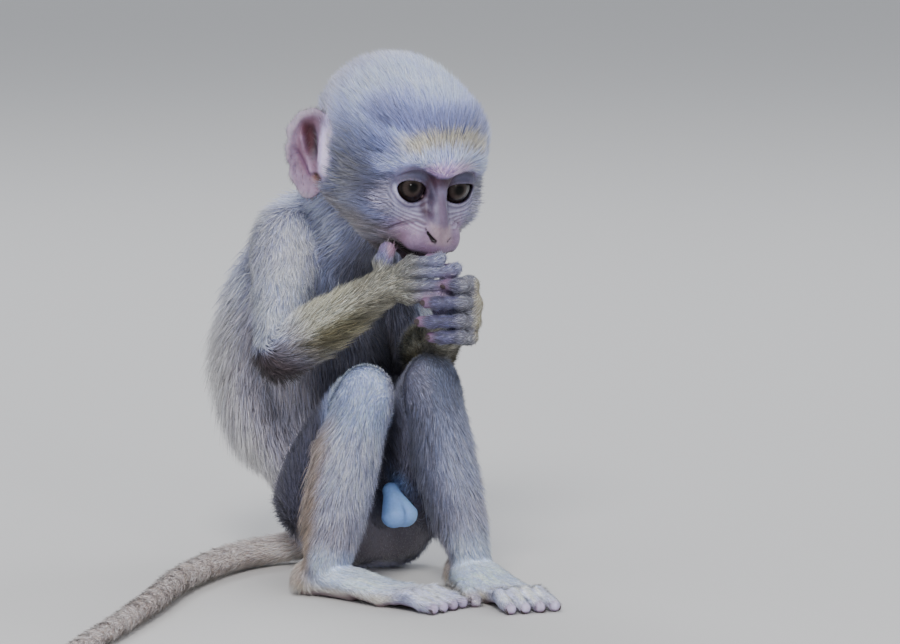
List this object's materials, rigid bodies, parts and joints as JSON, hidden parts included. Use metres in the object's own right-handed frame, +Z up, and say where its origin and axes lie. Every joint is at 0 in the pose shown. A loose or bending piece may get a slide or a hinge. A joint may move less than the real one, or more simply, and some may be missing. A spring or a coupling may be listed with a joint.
{
  "type": "infant vervet monkey",
  "caption": "Life-size still model of an infant vervet monkey squatting on its rump, knees up, both hands held to its mouth, tail laid along the floor.",
  "frame": {"origin": "middle of the flat under the rump, on the floor the animal rests on", "axes": "+Z up; the face and knees point along -Y; the animal's right side is -X"},
  "size_m": [0.2465, 0.2286, 0.1922],
  "materials": {
    "coat": "short soft fur, matt",
    "limb_coat": "short soft fur, matt",
    "bare_skin": "soft bare skin with thin hair",
    "ear_skin": "thin bare skin",
    "blue_skin": "bare skin, satin",
    "eye": "wet gloss"
  },
  "bodies": {
    "root": {"head": "coat", "neck": "coat", "trunk_upper": "coat", "trunk_lower": "coat", "tail_1": "limb_coat", "tail_2": "limb_coat", "tail_3": "limb_coat", "tail_4": "limb_coat", "upper_arm_right": "limb_coat", "upper_arm_left": "limb_coat", "forearm_right": "limb_coat", "forearm_left": "limb_coat", "thigh_right": "limb_coat", "thigh_left": "limb_coat", "shin_right": "limb_coat", "shin_left": "limb_coat", "hand_right": "bare_skin", "hand_left": "bare_skin", "foot_right": "bare_skin", "foot_left": "bare_skin", "ear_right": "ear_skin", "ear_left": "ear_skin", "eye_right": "eye", "eye_left": "eye", "scrotum": "blue_skin"}
  },
  "joints": []
}
